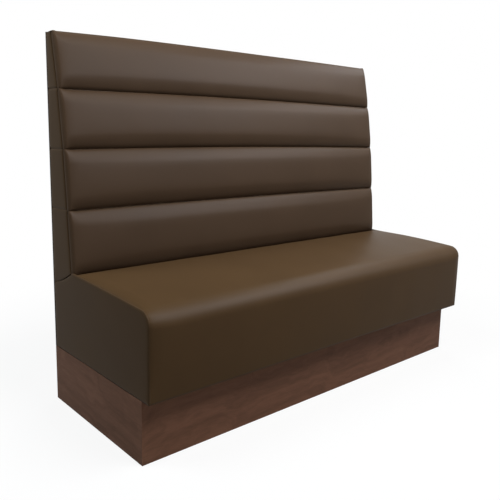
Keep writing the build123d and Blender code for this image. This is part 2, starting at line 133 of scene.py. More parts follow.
class BoothShape(bpy.types.PropertyGroup):
    """Sizes of the soft parts that the frame doesn't give."""

    channel_crown: bpy.props.FloatProperty(
        name="Channel crown", description="Height of a full channel above its seams",
        default=18 * MM, unit="LENGTH")
    channel_end_crown: bpy.props.FloatProperty(
        name="Channel end crown", description="Height of a channel at its ends",
        default=2 * MM, unit="LENGTH")
    end_rise: bpy.props.FloatProperty(
        name="End rise", description="How much higher a channel's seams lie at its ends",
        default=9 * MM, unit="LENGTH")
    end_roll: bpy.props.FloatProperty(
        name="End roll", description="Radius at which a channel turns round to the side",
        default=10 * MM, unit="LENGTH")
    side_wrap: bpy.props.FloatProperty(
        name="Side wrap", description="How far behind the corner the side seams lie",
        default=6 * MM, unit="LENGTH")
    channel_round: bpy.props.FloatProperty(
        name="Channel rounding", description="How far from a seam a channel begins to turn in",
        default=46 * MM, unit="LENGTH")
    edge_turn: bpy.props.FloatProperty(
        name="Edge turn", description="Angle at which padding leaves a seam",
        default=math.radians(46), subtype="ANGLE")
    seam_rise: bpy.props.FloatProperty(
        name="Seam rise", description="Cover and foam over the face panel at a seam",
        default=5 * MM, unit="LENGTH")
    seam_tuck: bpy.props.FloatProperty(
        name="Seam tuck", description="How deep a sewn edge is pulled in",
        default=5.2 * MM, unit="LENGTH")
    side_tuck: bpy.props.FloatProperty(
        name="Side tuck", description="How deep the seams at the ends are pulled in",
        default=2.6 * MM, unit="LENGTH")
    tuck_width: bpy.props.FloatProperty(
        name="Tuck width", description="How far from a seam its pull is felt",
        default=2.6 * MM, unit="LENGTH")
    end_fade: bpy.props.FloatProperty(
        name="End fade", description="Length over which a cushion rounds off at its ends",
        default=40 * MM, unit="LENGTH")
    seat_front_radius: bpy.props.FloatProperty(
        name="Seat front radius", description="Radius of the seat's front edge in the middle",
        default=58 * MM, unit="LENGTH")
    seat_end_radius: bpy.props.FloatProperty(
        name="Seat end radius", description="Radius of the seat's front edge at its end seams",
        default=40 * MM, unit="LENGTH")
    seat_front_drop: bpy.props.FloatProperty(
        name="Seat front drop", description="Fall of the end seams from back to front",
        default=19.5 * MM, unit="LENGTH")
    seat_gap: bpy.props.FloatProperty(
        name="Seat gap", description="How far the seat lies below the back's lowest seam",
        default=2.5 * MM, unit="LENGTH")
    seat_end_lift: bpy.props.FloatProperty(
        name="Seat end lift", description="Rise of the end seams where they meet the back",
        default=1 * MM, unit="LENGTH")
    seat_end_arch: bpy.props.FloatProperty(
        name="Seat end arch", description="Rise of the top's curve at the end seams",
        default=1.5 * MM, unit="LENGTH")
    seat_middle_arch: bpy.props.FloatProperty(
        name="Seat middle arch", description="Rise of the top's curve where the seat is full",
        default=8 * MM, unit="LENGTH")
    seat_corner_rise: bpy.props.FloatProperty(
        name="Seat corner rise", description="Height of the full front edge above the end seams",
        default=5 * MM, unit="LENGTH")
    seat_bulge: bpy.props.FloatProperty(
        name="Seat front bulge", description="How far the full front stands before its end seams",
        default=5 * MM, unit="LENGTH")
    panel_puff: bpy.props.FloatProperty(
        name="End panel puff", description="Swell of the padded end panels",
        default=0.8 * MM, unit="LENGTH")
    under_sag: bpy.props.FloatProperty(
        name="Seam sag", description="Sag of the seam between the end panels of back and seat",
        default=6 * MM, unit="LENGTH")
    pucker: bpy.props.FloatProperty(
        name="Seam pucker", description="Height of the small gathers beside a seam",
        default=0.25 * MM, unit="LENGTH")
    softness: bpy.props.FloatProperty(
        name="Softness", description="Height of the long slow waves in a padded face",
        default=0.5 * MM, unit="LENGTH")
    swell: bpy.props.FloatProperty(
        name="Swell", description="Furthest that the cloth simulation may move a cover",
        default=3 * MM, unit="LENGTH")


class BoothColours(bpy.types.PropertyGroup):
    """Colours of the booth's finishes, as scene-linear values."""

    seat_vinyl: bpy.props.FloatVectorProperty(
        name="Seat vinyl", description="Body colour of the vinyl on the seat", subtype="COLOR",
        size=3, default=(0.070, 0.040, 0.018))
    # Painted sheen: the back's vinyl is a cooler, greyer copy of the seat's colour that stands in
    # for the sheen of light on the channels.
    back_vinyl: bpy.props.FloatVectorProperty(
        name="Back vinyl with painted sheen", description="Colour of the vinyl on the back, a shade cooler and greyer than the seat's, with the sheen of light on it painted in",
        subtype="COLOR", size=3, default=(0.069, 0.0425, 0.0255))
    # Painted light: the end panels get their own copy of the vinyl's colour, toned to match how
    # they are lit, not a colour of their own.
    end_vinyl: bpy.props.FloatVectorProperty(
        name="End vinyl with painted light", description="Colour of the vinyl on the end panels, toned to the light that falls on them",
        subtype="COLOR", size=3, default=(0.0695, 0.042, 0.022))
    walnut: bpy.props.FloatVectorProperty(
        name="Walnut", description="Middle tone of the plinth boards", subtype="COLOR", size=3,
        default=(0.18, 0.088, 0.054))
    walnut_dark: bpy.props.FloatVectorProperty(
        name="Walnut figure", description="Tone of the dark streaks in the plinth boards",
        subtype="COLOR", size=3, default=(0.122, 0.060, 0.037))
    ply: bpy.props.FloatVectorProperty(
        name="Ply", description="Tone of the frame's birch ply", subtype="COLOR", size=3,
        default=(0.54, 0.36, 0.19))
    softwood: bpy.props.FloatVectorProperty(
        name="Softwood", description="Tone of the battens and glue blocks", subtype="COLOR",
        size=3, default=(0.60, 0.40, 0.20))
    lining: bpy.props.FloatVectorProperty(
        name="Lining", description="Colour of the black lining cloth", subtype="COLOR", size=3,
        default=(0.012, 0.012, 0.013))
    steel: bpy.props.FloatVectorProperty(
        name="Steel", description="Colour of the zinc-plated steel", subtype="COLOR", size=3,
        default=(0.55, 0.55, 0.56))


# Shader expressions

class Socket:
    """A shader socket that adds Math nodes when it stands in an expression."""

    def __init__(self, graph, link):
        self.graph = graph
        self.link = link

    def __add__(self, other):
        return self.graph.maths("ADD", self, other)

    def __rsub__(self, other):
        return self.graph.maths("SUBTRACT", other, self)

    def __mul__(self, other):
        return self.graph.maths("MULTIPLY", self, other)

    __radd__ = __add__


class Graph:
    """The node tree of a material or of the world."""

    def __init__(self, owner):
        self.owner = owner
        owner.use_nodes = True
        self.tree = owner.node_tree
        self.tree.nodes.clear()

    def node(self, kind, settings=None, inputs=None, output=0):
        """A node of a type, with its settings made first and then its sockets set or linked."""
        made = self.tree.nodes.new(kind)
        for key, value in (settings or {}).items():
            if key == "stops":
                self.set_stops(made.color_ramp, value)
            else:
                setattr(made, key, value)
        for key, value in (inputs or {}).items():
            if isinstance(value, Socket):
                self.tree.links.new(value.link, made.inputs[key])
            else:
                made.inputs[key].default_value = value
        return Socket(self, made.outputs[output]) if made.outputs else None

    @staticmethod
    def set_stops(ramp, stops):
        """The stops of a colour ramp, as (place, colour) pairs."""
        while len(ramp.elements) < len(stops):
            ramp.elements.new(1)
        for element, (place, colour) in zip(ramp.elements, stops):
            element.position = place
            element.color = (*colour, 1)

    def maths(self, operation, first, second):
        """One Math node on two values."""
        return self.node("ShaderNodeMath", {"operation": operation}, {0: first, 1: second})

    def mix(self, factor, first, second):
        """Two colours mixed by a factor."""
        inputs = {0: factor, 6: first, 7: second}
        return self.node("ShaderNodeMix", {"data_type": "RGBA"}, inputs, output=2)

    def coordinates(self):
        """Object coordinates in metres."""
        return self.node("ShaderNodeTexCoord", output=3)

    def place(self, stretch=(1, 1, 1)):
        """Object coordinates in metres, stretched for each axis."""
        return self.node("ShaderNodeMapping", None, {0: self.coordinates(), 3: stretch})

    def noise(self, where, scale, detail, roughness=0.5):
        """A noise value between about 0.3 and 0.7."""
        inputs = {"Vector": where, "Scale": scale, "Detail": detail, "Roughness": roughness}
        return self.node("ShaderNodeTexNoise", None, inputs)

    def finish(self, settings):
        """The surface shader with its sockets, joined to the output."""
        surface = self.node("ShaderNodeBsdfPrincipled", None, settings)
        self.node("ShaderNodeOutputMaterial", None, {0: surface})
        return self.owner


def solid(colour):
    """A colour with full alpha."""
    return (*colour, 1)


def scaled(colour, factor):
    """A colour made lighter or darker, with full alpha."""
    return (*[channel * factor for channel in colour], 1)


def vinyl_finish(name, colour, gloss, roughness=VINYL_ROUGHNESS):
    """Brown upholstery vinyl: a fine pressed grain with a low, even gloss."""
    patch_scale, pore_scale, cell_scale = 5.0, 1400.0, 760.0
    graph = Graph(bpy.data.materials.new(name))
    where = graph.place()
    slow = graph.noise(where, patch_scale, 3.0)
    fine = graph.noise(where, pore_scale, 2.0)
    cells = graph.node(
        "ShaderNodeTexVoronoi", {"feature": "F1"}, {"Vector": where, "Scale": cell_scale})
    grain = cells * 0.6 + fine * 0.4
    tone = graph.mix(slow, scaled(colour, 0.88), scaled(colour, 1.12))
    height = graph.node(
        "ShaderNodeBump", None, {"Strength": 0.25, "Distance": 0.00012, "Height": grain})
    return graph.finish({
        "Base Color": tone,
        "Roughness": slow * 0.08 + roughness,
        "Specular IOR Level": gloss,
        "Normal": height,
    })


def walnut_finish(name, colour, dark, along):
    """A dark walnut laminate whose figure runs along one axis, 0 for X and 1 for Y."""
    across_grain, along_grain, figure_scale = 26.0, 2.2, 1.2
    fibre_share = 9
    graph = Graph(bpy.data.materials.new(name))
    stretch = [across_grain] * 3
    stretch[along] = along_grain
    where = graph.place(tuple(stretch))
    warp = graph.noise(graph.place(), 5.0, 2.0) * 3.0
    bent = graph.node("ShaderNodeVectorMath", {"operation": "ADD"}, {0: where, 1: warp})
    streaks = graph.noise(bent, figure_scale, 6.0, 0.62)
    fine = graph.place(tuple(value * fibre_share for value in stretch))
    fibres = graph.noise(fine, figure_scale, 2.0)
    mask = graph.node(
        "ShaderNodeValToRGB",
        {"stops": [(0.36, (0, 0, 0)), (0.62, (1, 1, 1))]},
        {0: streaks * 0.8 + fibres * 0.2})
    tone = graph.mix(mask, solid(dark), solid(colour))
    height = graph.node(
        "ShaderNodeBump", None, {"Strength": 0.2, "Distance": 0.0002, "Height": fibres})
    return graph.finish({
        "Base Color": tone,
        "Roughness": 0.62 - streaks * 0.12,
        "Specular IOR Level": 0.05,
        "Normal": height,
    })


def timber_finish(name, colour, ring_scale):
    """Bare timber or ply: pale, dry and lightly figured."""
    graph = Graph(bpy.data.materials.new(name))
    where = graph.place((2.0, 2.0, 30.0))
    figure = graph.noise(where, ring_scale, 4.0)
    tone = graph.mix(figure, scaled(colour, 0.72), scaled(colour, 1.15))
    return graph.finish({"Base Color": tone, "Roughness": 0.75 - figure * 0.1})


def cloth_finish(colour):
    """Black lining cloth with a fine plain weave."""
    graph = Graph(bpy.data.materials.new("black lining cloth"))
    weave_pitch = 1.1 * MM
    coords = graph.coordinates()
    turn = 2 * math.pi / weave_pitch
    axes = [
        graph.node("ShaderNodeSeparateXYZ", None, {0: coords}, output=index) for index in range(3)
    ]
    threads = [graph.maths("SINE", axis * turn, 0) for axis in axes]
    weave = threads[0] * threads[2] + threads[0] * threads[1]
    fuzz = graph.noise(coords, 60.0, 4.0)
    tone = graph.mix(fuzz, scaled(colour, 0.7), scaled(colour, 1.6))
    height = graph.node(
        "ShaderNodeBump", None, {"Strength": 0.4, "Distance": 0.00015, "Height": weave})
    return graph.finish({
        "Base Color": tone, "Roughness": 0.85 + fuzz * 0.1, "Normal": height,
        "Specular IOR Level": 0.25,
    })


def steel_finish(colour):
    """Zinc-plated steel."""
    graph = Graph(bpy.data.materials.new("plated steel"))
    patches = graph.noise(graph.place(), 90.0, 3.0)
    tone = graph.mix(patches, scaled(colour, 0.8), scaled(colour, 1.1))
    return graph.finish({"Base Color": tone, "Metallic": 1.0, "Roughness": patches * 0.2 + 0.3})


def wear(piece, finish):
    """Gives a piece one finish in place of what it had."""
    piece.data.materials.clear()
    piece.data.materials.append(finish)


# Meshes

def new_piece(name, points, faces, finish):
    """A mesh object from points in metres, riding on the booth."""
    mesh = bpy.data.meshes.new(name)
    mesh.from_pydata([tuple(point) for point in points], [], faces)
    mesh.validate()
    mesh.shade_smooth()
    piece = bpy.data.objects.new(name, mesh)
    bpy.context.scene.collection.objects.link(piece)
    mesh.materials.append(finish)
    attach(piece, "root")
    return piece


def lofted(name, rings, finish):
    """A closed piece through equal closed rings of points, capped at both ends."""
    rows, count = rings.shape[:2]
    faces = []
    for row in range(rows - 1):
        for column in range(count):
            following = (column + 1) % count
            faces.append((
                row * count + column, row * count + following,
                (row + 1) * count + following, (row + 1) * count + column,
            ))
    faces.append(tuple(reversed(range(count))))
    faces.append(tuple(range((rows - 1) * count, rows * count)))
    return new_piece(name, rings.reshape(-1, 3), faces, finish)


def padded_grid(name, front, back, finish):
    """A closed piece between an outer and an inner grid of points that share their layout."""
    rows, columns = front.shape[:2]
    size = rows * columns
    faces = []
    for row in range(rows - 1):
        for column in range(columns - 1):
            quad = (
                row * columns + column, (row + 1) * columns + column,
                (row + 1) * columns + column + 1, row * columns + column + 1,
            )
            faces.append(quad)
            faces.append(tuple(size + index for index in reversed(quad)))
    rim = list(range(columns))
    rim += [row * columns + columns - 1 for row in range(1, rows)]
    rim += [(rows - 1) * columns + column for column in range(columns - 2, -1, -1)]
    rim += [row * columns for row in range(rows - 2, 0, -1)]
    for first, second in zip(rim, rim[1:] + rim[:1]):
        faces.append((first, second, size + second, size + first))
    points = np.concatenate([front.reshape(-1, 3), back.reshape(-1, 3)])
    return new_piece(name, points, faces, finish)


def waves(seed, along, across, lengths):
    """Slow uneven waves over two coordinates in metres, between about -1 and 1."""
    random = np.random.default_rng(seed)
    total = np.zeros(np.broadcast(along, across).shape)
    for length in lengths:
        angle = random.uniform(0, math.pi)
        phase = random.uniform(0, 2 * math.pi)
        swing = (along * math.cos(angle) + across * math.sin(angle)) * 2 * math.pi / length
        total = total + np.sin(swing + phase)
    return total / len(lengths)


def gathers(seed, along, distance):
    """Small gathers beside a seam that die away with distance from it."""
    pitch = 15 * MM
    fade = 7 * MM
    drift = waves(seed, along, 0 * along, (0.11, 0.19, 0.31))
    ripple = np.sin(2 * math.pi * along / pitch + 3 * drift) * (0.5 + 0.5 * drift)
    return ripple * np.exp(-distance / fade)


def crowded(half, count):
    """Places from -half to half, closer together towards both ends."""
    return half * np.sin(np.linspace(-math.pi / 2, math.pi / 2, count))


def rounded(distance, fade, turn):
    """A cushion's rise from 0 at an edge to 1 at fade from it, an arc that starts at an angle."""
    share = np.clip(1 - distance / fade, 0, 1) * math.sin(turn)
    return (np.sqrt(1 - share ** 2) - math.cos(turn)) / (1 - math.cos(turn))


def drawn_out(values, count):
    """Values along the first axis at more places, on smooth curves through them."""
    place = np.linspace(0, len(values) - 1, count)
    index = np.clip(place.astype(int), 0, len(values) - 2)
    share = (place - index).reshape(-1, *[1] * (values.ndim - 1))
    last = len(values) - 1
    before, here = values[np.maximum(index - 1, 0)], values[index]
    there, after = values[index + 1], values[np.minimum(index + 2, last)]
    bend = 2 * before - 5 * here + 4 * there - after
    bend = bend + share * (3 * (here - there) + after - before)
    return here + share * (there - before + share * bend) / 2


def pressed_out(sheet, foam, shape, counts):
    """How a sewn cover moves when its foam fills it, simulated as cloth, at counts of places.

    sheet is a coarse grid of points, sewn down all round, and foam is how firmly the foam holds
    each point at its place. The move is kept below shape.swell.
    """
    rows, columns = sheet.shape[:2]
    index = np.arange(rows * columns).reshape(rows, columns)
    faces = np.stack([index[:-1, :-1], index[1:, :-1], index[1:, 1:], index[:-1, 1:]], axis=-1)
    mesh = bpy.data.meshes.new("cover cloth")
    mesh.from_pydata(sheet.reshape(-1, 3).tolist(), [], faces.reshape(-1, 4).tolist())
    piece = bpy.data.objects.new("cover cloth", mesh)
    scene = bpy.context.scene
    scene.collection.objects.link(piece)
    held = np.full((rows, columns), foam)
    held[[0, -1]] = 1
    held[:, [0, -1]] = 1
    group = piece.vertex_groups.new(name="held")
    for weight in np.unique(held):
        group.add(index[held == weight].tolist(), float(weight), "REPLACE")
    cloth = piece.modifiers.new("cover cloth", "CLOTH")
    frames = 20
    settings = cloth.settings
    settings.vertex_group_mass = "held"
    settings.quality = 6
    settings.mass = 0.3
    settings.tension_stiffness = settings.compression_stiffness = 100
    settings.shear_stiffness = 50
    settings.bending_stiffness = 15
    settings.shrink_min = -0.0004
    settings.use_pressure = True
    settings.uniform_pressure_force = 3
    settings.effector_weights.gravity = 0
    cloth.collision_settings.use_collision = False
    for step in range(1, frames + 1):
        scene.frame_set(step)
    settled = piece.evaluated_get(bpy.context.evaluated_depsgraph_get()).data
    places = np.empty(rows * columns * 3)
    settled.vertices.foreach_get("co", places)
    bpy.data.objects.remove(piece)
    bpy.data.meshes.remove(mesh)
    scene.frame_set(1)
    move = places.reshape(rows, columns, 3) - sheet
    length = np.linalg.norm(move, axis=-1, keepdims=True)
    move = move * shape.swell / np.hypot(shape.swell, length)
    wide = drawn_out(move, counts[0])
    return drawn_out(wide.swapaxes(0, 1), counts[1]).swapaxes(0, 1)


class ChannelPlace:
    """Where one channel of the back lies; channel 1 is the top one."""

    def __init__(self, number):
        self.number = number
        self.low = Vector(panel_line[-1 - number])
        high = Vector(panel_line[-number])
        self.run = (high - self.low).length
        self.up = (high - self.low) / self.run
        self.out = Vector((-self.up.y, self.up.x))
        self.half = end_face - CHANNEL_INSET

    def points(self, x, s, n):
        """Points along the booth, up the channel and out from the face panel."""
        x, s, n = np.broadcast_arrays(x, s, n)
        share = s / self.run
        below, above = TOP_EDGE - self.number, TOP_EDGE - self.number + 1
        lift = seam_lift(below, x) * (1 - share) + seam_lift(above, x) * share
        return np.stack([
            x,
            self.low.x + self.up.x * s + self.out.x * n,
            self.low.y + self.up.y * s + self.out.y * n + lift,
        ], axis=-1)

    def face(self, counts, shape, less):
        """Places along and up the channel, its fullness, and its dome and smooth face over it.

        less is how much lower than full the crown is made.
        """
        edge_share, arch_share = 0.93, 0.07
        x = crowded(self.half, counts[0])[:, None]
        t = -np.cos(np.linspace(0, math.pi, counts[1]))[None, :]
        s = (t + 1) / 2 * self.run
        to_end = self.half - np.abs(x)
        e = rounded(to_end, shape.end_fade, shape.edge_turn)
        from_seam = np.minimum(s, self.run - s)
        dome = edge_share * rounded(from_seam, shape.channel_round, shape.edge_turn)
        dome = dome + arch_share * (1 - t ** 2)
        crown = shape.channel_end_crown + (
            shape.channel_crown - less - shape.channel_end_crown) * e
        past = np.clip(1 - to_end / shape.end_roll, 0, 1)
        roll = shape.end_roll * (1 - np.sqrt(1 - past ** 2))
        rise = shape.seam_rise + shape.end_rise * (1 - e)
        return x, s, e, dome, rise + crown * dome - roll


def seam_lift(index, x):
    """How far a seam stands above its straight line; 0 is the lowest, TOP_EDGE the highest."""
    left, middle, right = SEAM_LIFTS[index]
    ends = np.where(x < 0, left, right)
    share = np.abs(x) / end_face
    bow = 1 - share ** (3 if index == TOP_EDGE else 2)
    return (ends + (middle - ends) * bow) * MM


def channel(number, finish, shape):
    """One padded channel of the back, pulled in at its seams and turned in at its ends.

    The crown starts lower by about what the cloth simulation adds to it.
    """
    place = ChannelPlace(number)
    mean_swell = 0.6 * shape.swell
    least_tuck = 0.15
    flap_depth = 14 * MM
    less = mean_swell
    x, s, _, _, n = place.face(CHANNEL_CLOTH, shape, less)
    move = pressed_out(place.points(x, s, n), 0.0, shape, CHANNEL_GRID)
    x, s, e, dome, n = place.face(CHANNEL_GRID, shape, less)
    run = place.run
    tuck = shape.seam_tuck * (least_tuck + (1 - least_tuck) * e)
    n = n - tuck * np.exp(-np.minimum(s, run - s) / shape.tuck_width)
    n = n + shape.softness * waves(number, x, s, (0.23, 0.31, 0.47, 0.13)) * dome * e
    n = n + shape.pucker * gathers(number, x, s) + shape.pucker * gathers(number + 9, x, run - s)
    outer = place.points(x, s, n) + move
    over_pads = np.abs(x) > abs(pad_inner_face) + SKIN_GAP
    depth = np.where(over_pads, -flap_depth, SKIN_GAP)
    inner = place.points(x, np.array([[run * 0.75, run * 0.25]]), depth)
    rings = np.concatenate([outer, inner], axis=1)
    piece = lofted(f"channel_{number}", rings[:, ::-1], finish)
    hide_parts(f"channel_cover_{number}", f"channel_foam_{number}")


def lower_crossing(start, first, other, second):
    """The lower crossing of a circle of radius first about start and one of radius second."""
    across, up = other[0] - start[0], other[1] - start[1]
    apart = math.hypot(across, up)
    along = (apart ** 2 + first ** 2 - second ** 2) / (2 * apart)
    off = math.sqrt(first ** 2 - along ** 2)
    side = 1 if across < 0 else -1
    return (
        start[0] + (across * along - side * up * off) / apart,
        start[1] + (up * along + side * across * off) / apart,
    )


def seat_profile(e, radius, shape, counts):
    """Points (y, z) and outward normals down the seat's top, front edge and front."""
    lift_fade = 45 * MM
    end_inset = 0.4
    front = seat_front_seam + shape.seat_bulge * (end_inset - e)
    corner = (
        front + radius,
        seat_back_height(shape) - shape.seat_front_drop - radius + shape.seat_corner_rise * e,
    )
    back = (seat_rear_seam, seat_back_height(shape))
    arch = shape.seat_end_arch + (shape.seat_middle_arch - shape.seat_end_arch) * e
    top_radius = math.dist(back, corner) ** 2 / (8 * arch)
    top_centre = lower_crossing(back, top_radius, corner, top_radius - radius)
    fall = corner[1] - seat_bottom
    bulge = seat_foot - front
    face_radius = (fall ** 2 + bulge ** 2) / (2 * bulge)
    face_centre = (front + face_radius, corner[1])
    join_angle = math.atan2(corner[1] - top_centre[1], corner[0] - top_centre[0])
    back_angle = math.atan2(back[1] - top_centre[1], back[0] - top_centre[0])
    foot_angle = math.pi + math.asin(fall / face_radius)
    pieces = (
        (top_centre, top_radius, back_angle, join_angle),
        (corner, radius, join_angle, math.pi),
        (face_centre, face_radius, math.pi, foot_angle),
    )
    points, normals = [], []
    for (centre, size, start, end), count in zip(pieces, counts):
        angles = np.linspace(start, end, count)
        if points:
            angles = angles[1:]
        ray = np.stack([np.cos(angles), np.sin(angles)], axis=1)
        points.append(np.array(centre) + size * ray)
        normals.append(ray)
    points = np.concatenate(points)
    points[:, 1] += shape.seat_end_lift * (1 - e) * np.exp((points[:, 0] - back[0]) / lift_fade)
    return points, np.concatenate(normals)


def seat_back_height(shape):
    """Height of the seat's cover where it meets the back."""
    return panel_line[0][1] - shape.seat_gap


def seat_face(count, arc_counts, shape):
    """Places along the seat, their fullness, and a grid of points and normals over its cover."""
    corner_fade, corner_turn = 0.09, math.radians(60)
    half = end_face - cover_gauge
    x = crowded(half, count)
    fullness = rounded(half - np.abs(x), shape.end_fade, shape.edge_turn)
    roundness = rounded(half - np.abs(x), corner_fade, corner_turn)
    points, normals = [], []
    for place, e, share in zip(x, fullness, roundness):
        radius = shape.seat_end_radius + (shape.seat_front_radius - shape.seat_end_radius) * share
        line, ways = seat_profile(float(e), float(radius), shape, arc_counts)
        points.append(np.column_stack([np.full(len(line), place), line]))
        normals.append(np.column_stack([np.zeros(len(line)), ways]))
    return x[:, None], fullness[:, None], np.array(points), np.array(normals)


def seat_cushion(finish, shape):
    """The seat's waterfall cushion: top, front edge and front in one cover."""
    foam_hold = 0.4
    rear_dive, dive_fade = 20 * MM, 9 * MM
    rear_gap, rear_drop, hem_width = 1.5 * MM, 1 * MM, 1.5 * MM
    deck_gap, corner_cut, rear_step = 0.5 * MM, 6 * MM, 60 * MM
    _, _, sheet, _ = seat_face(*SEAT_CLOTH, shape)
    x, e, points, normals = seat_face(*SEAT_GRID, shape)
    move = pressed_out(sheet[:, ::-1], foam_hold, shape, points.shape[:2])[:, ::-1]
    steps = np.linalg.norm(np.diff(points, axis=1), axis=-1)
    path = np.concatenate([np.zeros_like(x), np.cumsum(steps, axis=1)], axis=1)
    to_end = points[-1, 0, 0] - np.abs(x)
    n = -shape.side_tuck * np.exp(-to_end / shape.tuck_width)
    n = n + shape.softness * 1.4 * waves(SEAT_SEED, x, path, (0.29, 0.41, 0.63, 0.17)) * e
    n = n + shape.pucker * gathers(SEAT_SEAM_SEED, path, to_end)
    n = n - rear_dive * np.exp(-path / dive_fade)
    outer = points + normals * n[..., None] + move
    behind = outer[:, :1].copy()
    behind[..., 1] = panel_line[0][0] - rear_gap
    behind[..., 2] -= rear_drop
    foot = outer[:, -1]
    inner_front = deck_front - deck_gap
    over_deck = deck_top + SKIN_GAP
    hem = []
    for y, z in (
        (foot[:, 1] + hem_width, foot[:, 2] - SKIN_GAP),
        (inner_front, foot[:, 2] - SKIN_GAP),
        (inner_front, deck_top - corner_cut),
        (inner_front, over_deck),
        (seat_rear_seam - rear_step, over_deck),
        (seat_rear_seam, over_deck),
    ):
        hem.append(np.stack(np.broadcast_arrays(x[:, 0], y, z), axis=-1))
    rings = np.concatenate([behind, outer, np.stack(hem, axis=1)], axis=1)
    piece = lofted("seat_cushion", rings, finish)
    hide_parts("seat_cover", "seat_foam", "seat_front_foam")


def distance_to_outline(points, outline):
    """Least distance from each point to a closed outline, all as (y, z)."""
    best = np.full(points.shape[:-1], np.inf)
    for start, end in zip(outline, np.roll(outline, -1, axis=0)):
        way = end - start
        share = np.clip(((points - start) @ way) / (way @ way), 0, 1)
        near = start + share[..., None] * way
        best = np.minimum(best, np.linalg.norm(points - near, axis=-1))
    return best


def panel_swell(distance, depth, shape):
    """Height of a padded panel's face over its seam line, from the distance to its edge."""
    puff_fade = 12 * MM
    rise = shape.panel_puff * (1 - np.exp(-distance / puff_fade))
    return rise - depth * np.exp(-distance / shape.tuck_width)


def end_panel(name, side, grid, outline, tuck, finish, shape, seed, seams=()):
    """A padded end panel over a grid of (y, z) points, with sewn creases at the seam heights."""
    rear_fade, least_tuck = 12 * MM, 0.4
    distance = distance_to_outline(grid, outline)
    forward = np.clip((lining_front - grid[..., 0]) / rear_fade, least_tuck, 1)
    n = panel_swell(distance, tuck * forward, shape)
    n = n + 0.5 * shape.softness * waves(seed, grid[..., 0], grid[..., 1], (0.21, 0.33, 0.12))
    for height in seams:
        n = n - CREASE_DEPTH * np.exp(-np.abs(grid[..., 1] - height) / CREASE_WIDTH)
    x_front = side * (end_face + n)
    x_back = np.full(n.shape, side * (pad_inner_face + SKIN_GAP))
    front = np.concatenate([x_front[..., None], grid], axis=-1)
    back = np.concatenate([x_back[..., None], grid], axis=-1)
    if side < 0:
        front, back = front[::-1], back[::-1]
    return padded_grid(name, front, back, finish)


def under_back(y, shape):
    """Height of the seam between the end panels of seat and back, behind the back's front."""
    front_drop = 3 * MM
    rear = lining_front - LINING_GAP
    low = deck_top + (panel_line[0][1] - deck_top) * (rear_face - rear) / (
        rear_face - seat_rear_seam)
    share = (rear - y) / (rear - seat_rear_seam)
    rise = panel_line[0][1] - front_drop - low
    return low + rise * share - 4 * shape.under_sag * share * (1 - share)


def seat_end_grid(shape):
    """Grid and outline of the seat's end panel, which runs on behind the back's front."""
    rear_columns, rows = 24, 49
    path, _ = seat_profile(0.0, shape.seat_end_radius, shape, SEAT_END_ARCS)
    edge = path[:sum(SEAT_END_ARCS[:2]) - 1]
    behind = np.linspace(lining_front - LINING_GAP, seat_rear_seam, rear_columns)[:-1]
    behind = np.column_stack([behind, under_back(behind, shape)])
    top = np.concatenate([behind, edge])
    share = -np.cos(np.linspace(0, math.pi, rows))[:, None] / 2 + 0.5
    z = seat_bottom + (top[:, 1] - seat_bottom) * share
    rear, (front, corner) = behind[0][0], edge[-1]
    drop = np.clip((corner - z) / (corner - seat_bottom), 0, 1)
    y = rear + (top[:, 0] - rear) * (1 - (seat_foot - front) * drop ** 2 / (rear - front))
    outline = np.concatenate([behind, path, [(rear, seat_bottom)]])
    return np.stack([y, z], axis=-1), outline


def back_end_grid(shape):
    """Grid and outline of the back's wedge-shaped end panel."""
    columns, rows, edge_steps = 23, 481, 80
    rear = lining_front - LINING_GAP
    cover_line = [(y, z) for y, z in front_line("back_left_cover") if z >= panel_line[0][1]]
    line_y = np.array([y + shape.side_wrap for y, _ in cover_line])
    line_z = np.array([z for _, z in cover_line])
    across = (1 - np.cos(np.linspace(0, math.pi, columns))) / 2
    foot_y = rear + (seat_rear_seam - rear) * across
    floor = under_back(foot_y, shape) + SKIN_GAP
    share = np.linspace(0, 1, rows)[:, None]
    z = floor + (back_top - floor) * share
    front = np.interp(z, line_z, line_y)
    y = rear + (front - rear) * across
    edge_z = np.linspace(line_z[0], back_top, edge_steps)
    outline = np.concatenate([
        np.column_stack([np.interp(edge_z, line_z, line_y), edge_z]),
        [(rear, back_top)], np.column_stack([foot_y, floor]),
    ])
    return np.stack([y, z], axis=-1), outline


def top_strip(finish, shape):
    """The strip of vinyl over the top rail, rolled over at its front seam."""
    columns, rows = 220, 15
    roll_depth, roll_width, rail_overlap = 2.4 * MM, 2.2 * MM, 1.2 * MM
    low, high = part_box("back_top_cover")
    front = panel_line[-1][0] - shape.seam_rise
    x = crowded(end_face, columns)[:, None]
    share = np.linspace(0, 1, rows)[None, :]
    y = lining_front + (front - lining_front) * share
    edge = np.minimum(np.abs(y - front), end_face - np.abs(x))
    z = high.z + 0 * x - roll_depth * np.exp(-edge / roll_width)
    z = z + 0.4 * shape.softness * waves(STRIP_SEED, x, y, (0.31, 0.19, 0.47))
    z = z + seam_lift(TOP_EDGE, x) * share
    front_grid = np.stack(np.broadcast_arrays(x, y, z), axis=-1)
    back_grid = front_grid.copy()
    back_grid[..., 2] = low.z - rail_overlap
    piece = padded_grid("back_top_strip", front_grid[:, ::-1], back_grid[:, ::-1], finish)
    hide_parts("back_top_cover")


# Operators

made_finishes = {}


def finish_of(maker, *values):
    """A finish by its maker, made once and then shared."""
    key = (maker.__name__, *[tuple(value) if hasattr(value, "__len__") else value
                             for value in values])
    if key not in made_finishes:
        made_finishes[key] = maker(*values)
    return made_finishes[key]


class BOOTH_OT_channels(bpy.types.Operator):
    """Builds the four padded channels of the back"""

    bl_idname = "booth.channels"
    bl_label = "Back channels"

    def execute(self, context):
        # The back's colour is a copy of the vinyl with the sheen of light on the channels painted
        # into it.
        colour = context.scene.booth_colours.back_vinyl
        finish = finish_of(vinyl_finish, "back vinyl", colour, BACK_GLOSS)
        for number in range(1, TOP_EDGE + 1):
            channel(number, finish, context.scene.booth_shape)
        return {"FINISHED"}


